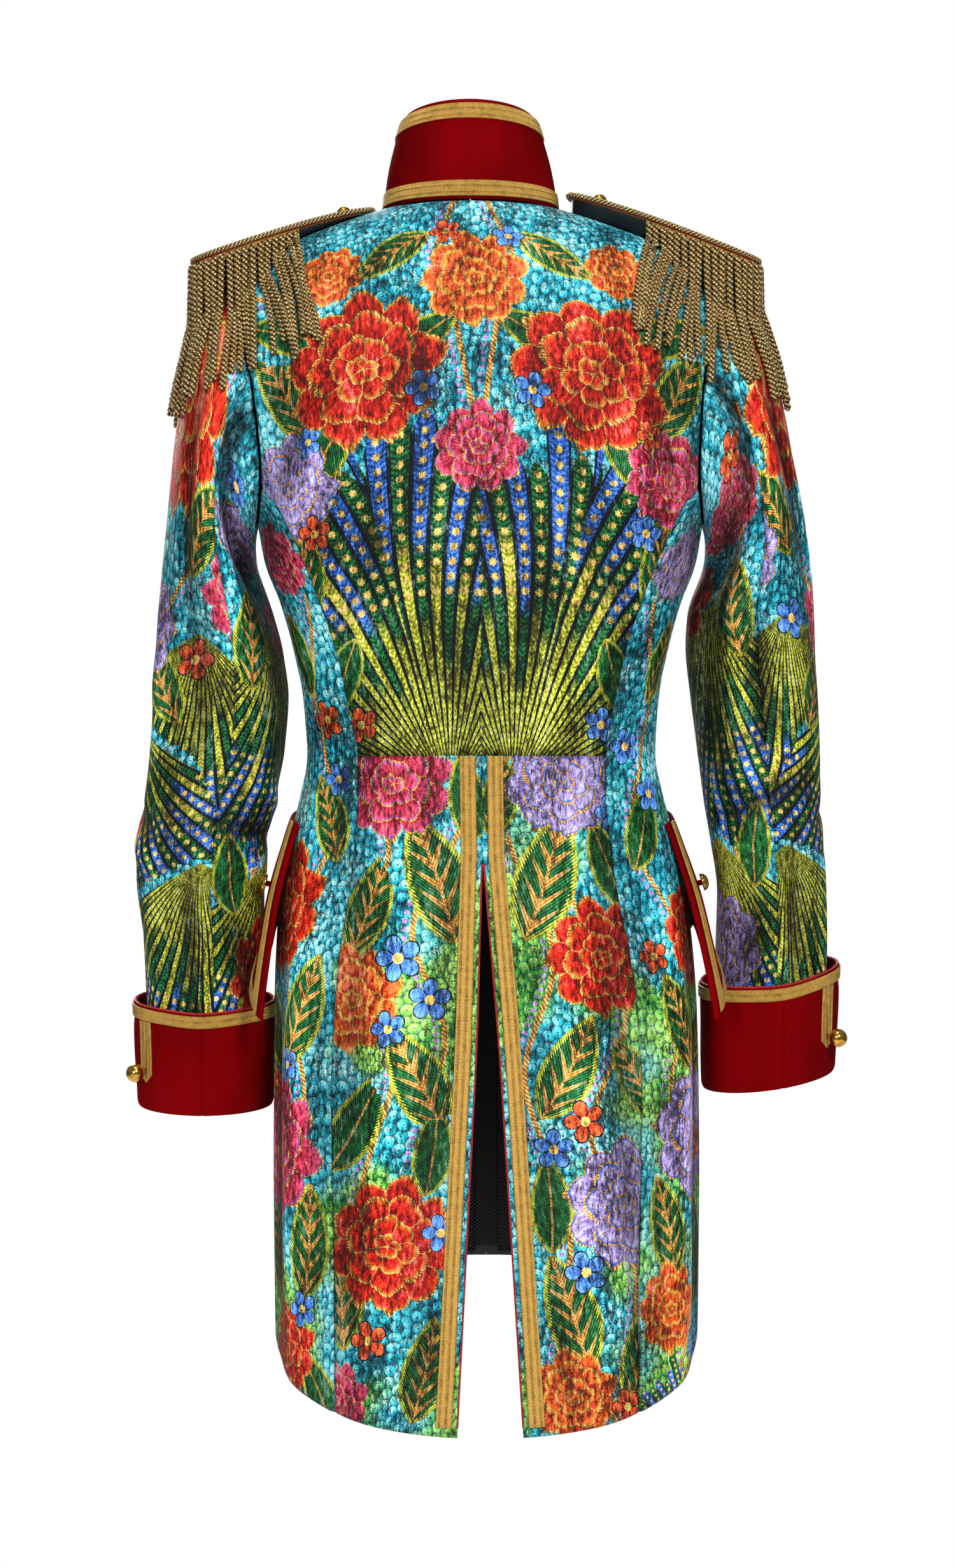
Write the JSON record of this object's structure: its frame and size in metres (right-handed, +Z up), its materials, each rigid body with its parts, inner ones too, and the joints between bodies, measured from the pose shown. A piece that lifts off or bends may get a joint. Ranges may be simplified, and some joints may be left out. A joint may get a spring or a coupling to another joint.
{
  "type": "carnival jacket",
  "caption": "Fitted velvet tail coat with a stand collar, turned-up cuffs, pointed pocket flaps, gold braid and fringed shoulder boards",
  "frame": {"origin": "middle of the neck opening at the shoulder seams, where the wearer's shoulders carry the coat", "axes": "+Z up, +Y out of the wearer's back, +X towards the wearer's left"},
  "size_m": [0.546, 0.255, 0.9886],
  "materials": {
    "printed_velvet": "printed stretch velvet with a soft sheen, black lining",
    "red_velvet": "deep red velvet",
    "gold_braid": "woven metallic braid, satin",
    "gold_bullion": "twisted metallic cord",
    "gilt_metal": "polished gilt"
  },
  "bodies": {
    "root": {"back_body": "printed_velvet", "side_back_left": "printed_velvet", "side_back_right": "printed_velvet", "skirt_back_left": "printed_velvet", "skirt_back_right": "printed_velvet", "front_left": "printed_velvet", "front_right": "printed_velvet", "sleeve_upper_left": "printed_velvet", "sleeve_upper_right": "printed_velvet", "sleeve_under_left": "printed_velvet", "sleeve_under_right": "printed_velvet", "collar": "red_velvet", "cuff_left": "red_velvet", "cuff_right": "red_velvet", "pocket_flap_left": "red_velvet", "pocket_flap_right": "red_velvet", "epaulette_board_left": "red_velvet", "epaulette_board_right": "red_velvet", "collar_braid_top": "gold_braid", "collar_braid_bottom": "gold_braid", "cuff_braid_left": "gold_braid", "cuff_braid_right": "gold_braid", "cuff_tab_left": "gold_braid", "cuff_tab_right": "gold_braid", "flap_braid_left": "gold_braid", "flap_braid_right": "gold_braid", "vent_braid_left": "gold_braid", "vent_braid_right": "gold_braid", "epaulette_rope_left": "gold_bullion", "epaulette_rope_right": "gold_bullion", "fringe_left": "gold_bullion", "fringe_right": "gold_bullion", "cuff_button_left": "gilt_metal", "cuff_button_right": "gilt_metal", "flap_button_left": "gilt_metal", "flap_button_right": "gilt_metal", "epaulette_button_left": "gilt_metal", "epaulette_button_right": "gilt_metal", "front_button_1": "gilt_metal", "front_button_2": "gilt_metal", "front_button_3": "gilt_metal", "front_button_4": "gilt_metal", "front_button_5": "gilt_metal", "front_button_6": "gilt_metal"}
  },
  "joints": []
}
